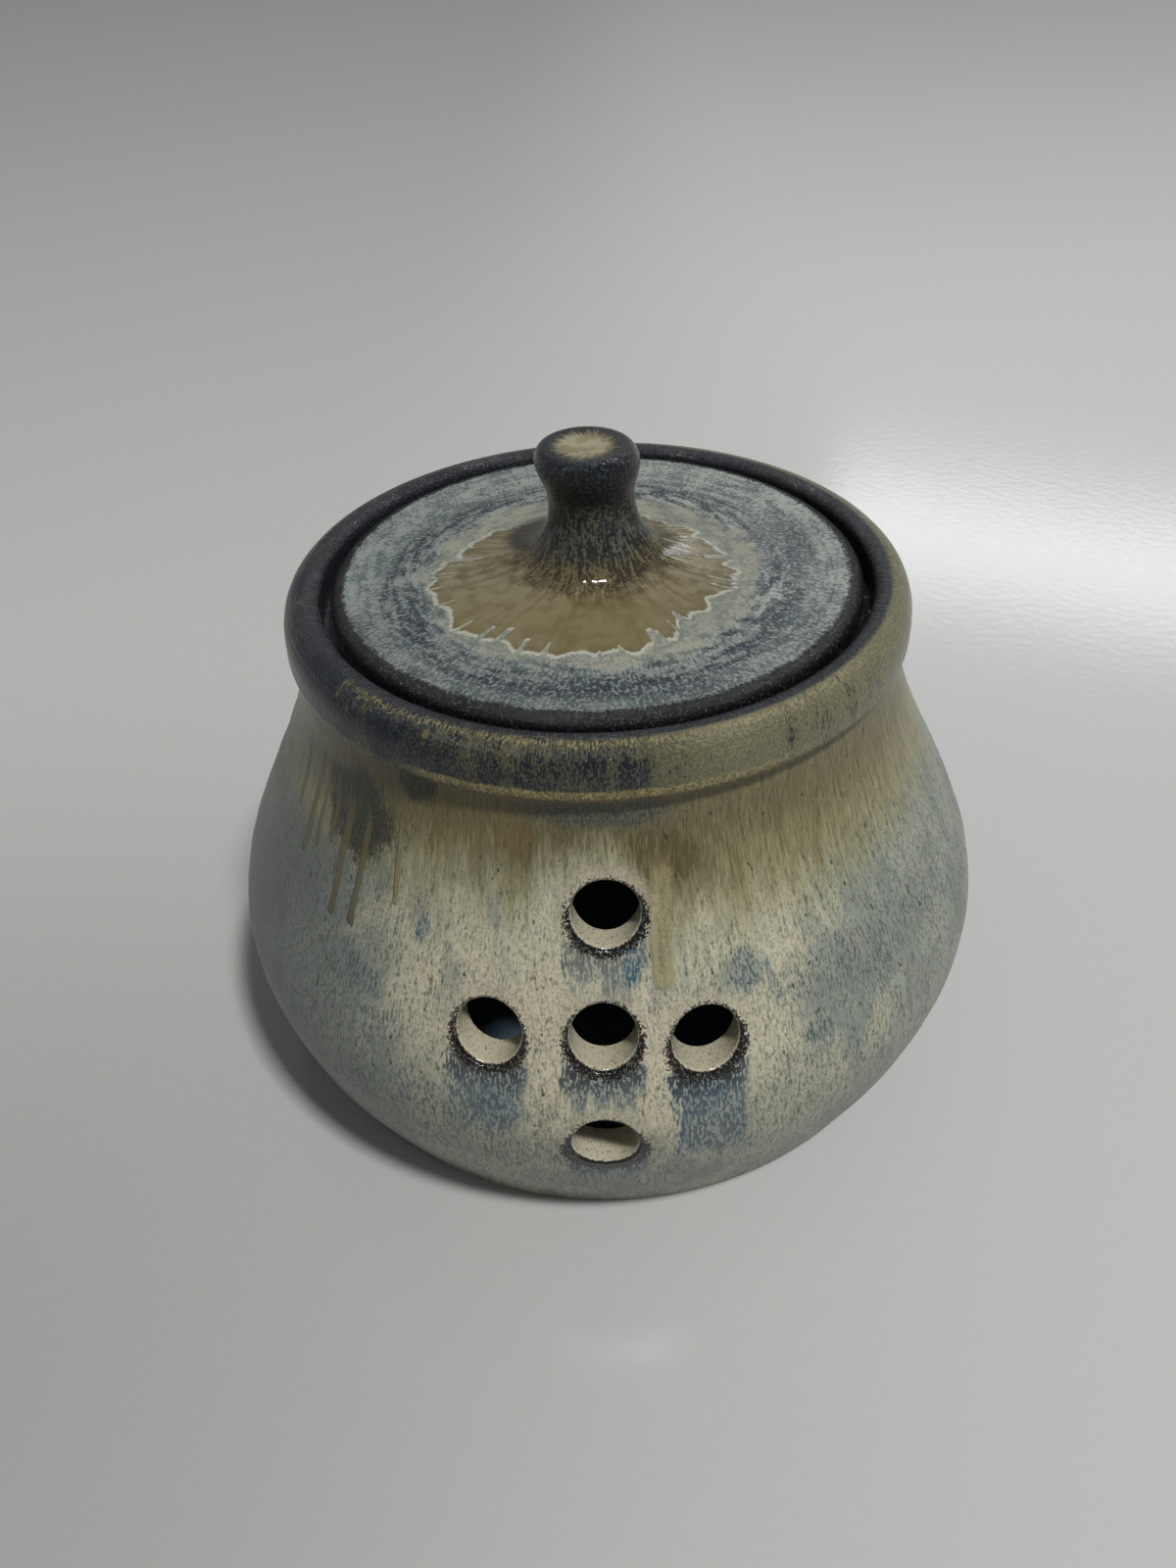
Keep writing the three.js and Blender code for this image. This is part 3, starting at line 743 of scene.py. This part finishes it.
def lid_glaze():
    """The whole top of the lid, from the pale glaze up to the knob and out to the black edge."""
    pot = Recipe("lid_glaze")
    ramp, mix, cloud, blot, most, band = pot.ramp, pot.mix, pot.cloud, pot.blot, pot.most, pot.band
    x, y, z, radius = pot.x, pot.y, pot.z, pot.radius
    spoke = cloud(pot.wheel(20, 0, 0.08), 1.0, 3)
    fur = cloud(pot.wheel(34, 0, 0.42), 0.40, 1)
    grain = cloud(pot.place, 0.48, 2)
    mottle = cloud(pot.place, 2.4, 3)
    patchy = cloud(pot.place, 7.0, 2)
    arc = cloud(pot.wheel(6, 0, 1.0), 1.2, 3)

    # Pale blue-grey top, darker in rings and arcs that the brush left on the turning lid
    off_x = x + 0.5
    off_y = y + 3.5
    ring_radius = pot.maths("SQRT", off_x * off_x + off_y * off_y) + (mottle - 0.5) * 4 + (patchy - 0.5) * 6
    furred = grain * 0.6 + fur * 0.5
    clouded = furred + mottle * 0.4 + (patchy - 0.5) * 0.4 + (arc - 0.5) * 0.5
    pale = mix(ramp(x + y * 0.4, -24, 24), paint(133, 139, 134), paint(150, 155, 149))
    colour = mix(ramp(clouded, 0.62, 0.92), pale, paint(80, 90, 91))
    dark = band(ring_radius + (arc - 0.5) * 5, 29.6, 31.8, 2.4)
    dark = dark * (0.3 + ramp(arc + mottle * 0.5, 0.6, 0.85) * 0.7)
    back = ramp(y, 6, 12)
    dark = most(dark, band(ring_radius, 24.8, 26.2, 1.2) * back * ramp(arc, 0.44, 0.56))
    right_smudge = blot(x, y, (28.5, 5), (6.5, 12), mottle * 0.8 - 0.4)
    front_smudge = blot(x, y, (2, -34), (20, 3.2), arc * 1.6 - 0.8)
    spot = blot(x, y, (26.3, 0.7), (0.9, 0.7))
    dark = most(most(dark, right_smudge * 0.75), most(front_smudge * 0.8, spot))
    dark = most(dark, ramp(radius, 25, 33) * ramp(y, -4, -20) * 0.35)
    arcs = band(ring_radius, 24, 31, 2.5) * ramp(arc + (mottle - 0.5) * 0.4, 0.50, 0.62)
    dark = most(dark, arcs * (0.55 + ramp(x, -6, 14) * 0.45))
    colour = mix(dark * 0.5, colour, paint(80, 90, 93))
    colour = mix(dark * ramp(furred, 0.43, 0.58), colour, paint(38, 47, 54))
    cream = ramp(ring_radius, 27.4, 24.4)
    creamy = mix(ramp(clouded, 0.60, 0.92), paint(142, 142, 127), paint(106, 112, 106))
    colour = mix(cream * 0.95, colour, creamy)

    # Tan splash off the knob, with a toothed edge, small brown pools in it and a pale line round it
    splash_x = (x + 1.7) / 22.8
    splash_y = (y + 6) / 20
    lobes = cloud(pot.wheel(20, 0), 3.2, 1)
    teeth = cloud(pot.wheel(24, 0, 0.03), 1.3, 1)
    splash = (pot.maths("SQRT", splash_x * splash_x + splash_y * splash_y) - 1) * 21
    splash = splash + (lobes - 0.5) * 6 + ramp(teeth, 0.58, 0.68) * 3.2 + (fur - 0.5) * 0.8
    splash = splash + blot(x, y, (17, -17), (7, 7)) * 3
    line = band(splash, -0.05, 0.45, 0.3)
    colour = mix(line * 0.8, colour, paint(168, 168, 156))
    tan = mix(ramp(mottle + spoke * 0.4, 0.60, 0.84), paint(121, 114, 89), paint(102, 95, 70))
    tan = mix(ramp(spoke + mottle * 0.4, 0.66, 0.84) * 0.55, tan, paint(90, 80, 56))
    tan = mix(ramp(y, -6, -18) * 0.6, tan, paint(112, 103, 70))
    pools = ramp(splash, -2.0, -0.4) * ramp(lobes + spoke * 0.5, 0.84, 0.68)
    tan = mix(pools * 0.6, tan, paint(96, 82, 56))
    colour = mix(ramp(splash, 0.05, -0.3), colour, tan)

    # Brown-black stem with ochre speckles, a blue-black knob head and its cream middle
    up = z - crown_height
    pull = cloud(pot.wheel(12, 0.30), 0.7, 2)
    rise = up + (pull - 0.5) * 4 + (grain - 0.5) * 3 + (mottle - 0.5) * 4
    speckled = ramp(grain * 0.5 + pull * 0.6, 0.50, 0.64)
    low_stem = mix(speckled, paint(46, 43, 36), paint(98, 88, 60))
    colour = mix(ramp(rise, 0.3, 1.8) * ramp(radius, 17, 12), colour, low_stem)
    stem = mix(speckled, paint(27, 30, 34), paint(82, 81, 70))
    colour = mix(ramp(rise, 3.2, 6.0), colour, stem)
    head = ramp(up + (pull - 0.5) * 5, 11, 13.5)
    blue_black = mix(ramp(grain + pull * 0.4, 0.68, 0.86), paint(12, 14, 20), paint(44, 50, 56))
    colour = mix(head, colour, blue_black)
    knob_x = x - knob_lean
    disc = pot.maths("SQRT", knob_x * knob_x + y * y) + (pull - 0.5) * 3.5 + (fur - 0.5) * 2.5
    disc = ramp(disc, 5.4, 3.6) * ramp(z, knob_top - 1.6, knob_top - 0.9)
    colour = mix(disc, colour, mix(ramp(mottle, 0.42, 0.6), paint(149, 146, 120), paint(128, 118, 90)))

    # Black edge, where the glaze thinned over the rounding
    edge = ramp(radius + (grain - 0.5) * 1.6 + (mottle - 0.5) * 1.0, 38.8, 39.7)
    edge = edge * ramp(z, seat_height, seat_height + 1)
    edge = most(edge, ramp(radius, 41.0, 41.3))
    colour = mix(edge, colour, mix(ramp(grain, 0.54, 0.66), paint(12, 13, 17), paint(44, 45, 48)))
    black = most(edge, head * (1 - disc))
    rough = 0.34 + grain * 0.10 - most(black, ramp(rise, 0.3, 2.0)) * 0.22 - ramp(splash, 0.2, -0.3) * 0.14
    sand = cloud(pot.place, 0.24, 1)
    glassy = ramp(rise, 0.3, 2.0) * ramp(up, 9, 5)
    relief = grain * (0.35 + black * 0.6 - glassy * 0.25) + sand * black * 1.3 + spoke * 0.3 + mottle * 0.4
    relief = relief + ramp(splash, 0.6, -0.6) * 0.6
    return pot.finish(colour, rough, relief, 0.16)


def lid_part(place, outward, upward):
    """Lined within the ring underneath, and bare on the ring and the seat."""
    radius = math.hypot(place.x, place.y)
    if radius < ring_inner - 0.3 and place.z < seat_height + 1.5:
        return lined
    return unglazed if place.z < seat_height + 0.3 else glazed


glaze_parts(lid, [lid_glaze(), liner_and_painted_light, clay], lid_part)
alone(lid)
lid_crisp_angle = 50
bpy.ops.object.shade_smooth_by_angle(angle=math.radians(lid_crisp_angle))
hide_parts("lid")
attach(lid, "lid")

# Table
# A pale sheet, wide enough to fill the view, a little glossy as painted board is, with painted light on it.

bpy.ops.object.select_all(action="DESELECT")
sheet_width = 12
bpy.ops.mesh.primitive_plane_add(size=sheet_width)
table = bpy.context.object
table.name = "table"
sheet = Recipe("table_paint")
peel = sheet.cloud(sheet.place, 2.6, 3)
# Painted light: the sheet is darker to the front left and lighter to the back right, as a lamp's light
# falls off
left = sheet.mix(sheet.ramp(sheet.y, -100, 130), paint(156, 157, 155), paint(187, 188, 186))
right = sheet.mix(sheet.ramp(sheet.y, -90, 450), paint(186, 187, 186), paint(209, 210, 210))
painted_light_falloff = sheet.mix(sheet.ramp(sheet.x, -110, 90), left, right)
table.data.materials.append(sheet.finish(painted_light_falloff, 0.13 + peel * 0.06, peel, 0.05))

# Light
# A large soft lamp over the viewer's right shoulder and the room light the pot all round, and that
# lamp shows in no reflection. The other two light nothing and are only seen as reflections: the one
# overhead as glints on the pot, the low one behind as a soft gleam on the sheet.


def soft_lamp(name, place, width, height, power, colour=(1, 1, 1)):
    """A flat lamp that faces the middle of the pot."""
    light = bpy.data.lights.new(name, "AREA")
    light.shape = "RECTANGLE"
    light.size = width
    light.size_y = height
    light.energy = power
    light.color = colour
    lamp = bpy.data.objects.new(name, light)
    lamp.location = place
    aim = Vector((0, 0, 0.05)) - Vector(place)
    lamp.rotation_euler = aim.to_track_quat("-Z", "Y").to_euler()
    bpy.context.collection.objects.link(lamp)
    return lamp


warm, cool = (1.0, 0.99, 0.97), (0.96, 0.98, 1.0)
shoulder_lamp = soft_lamp(
    "shoulder_lamp", place=(0.875, -1.043, 2.723), width=0.36, height=0.36, power=82.0, colour=warm
)
shoulder_lamp.visible_glossy = False
overhead_lamp = soft_lamp(
    "overhead_lamp", place=(0.03, -0.06, 1.1), width=0.06, height=0.06, power=7.0
)
overhead_lamp.visible_diffuse = False
low_lamp = soft_lamp(
    "low_lamp", place=(0.485, 1.20, 0.58), width=0.49, height=0.12, power=0.85, colour=cool
)
low_lamp.visible_diffuse = False

world = bpy.data.worlds.new("room")
bpy.context.scene.world = world
world.use_nodes = True
room = world.node_tree.nodes["Background"]
room.inputs["Color"].default_value = (0.98, 0.99, 1.0, 1)
room.inputs["Strength"].default_value = 0.21

# Camera
# Where the photographer stood, looking down at the front. Its place is worked out from the round
# forms, whose widths are known, and its view is an upright phone picture.

focal_length_px = 1300
frame_height_px = 1600
camera_pitch, camera_roll, camera_turn = 38.64, 2.59, 2.6
camera_data = bpy.data.cameras.new("camera")
camera_data.sensor_width = 36
camera_data.lens = camera_data.sensor_width * focal_length_px / frame_height_px
camera = bpy.data.objects.new("camera", camera_data)
camera.location = (0.00528, -0.17727, 0.18392)
camera.rotation_mode = "QUATERNION"
look = Euler((math.radians(90 - camera_pitch), 0, math.radians(camera_turn))).to_quaternion()
camera.rotation_quaternion = look @ Quaternion((0, 0, 1), math.radians(-camera_roll))
bpy.context.collection.objects.link(camera)
bpy.context.scene.camera = camera
bpy.context.scene.view_settings.view_transform = "Standard"
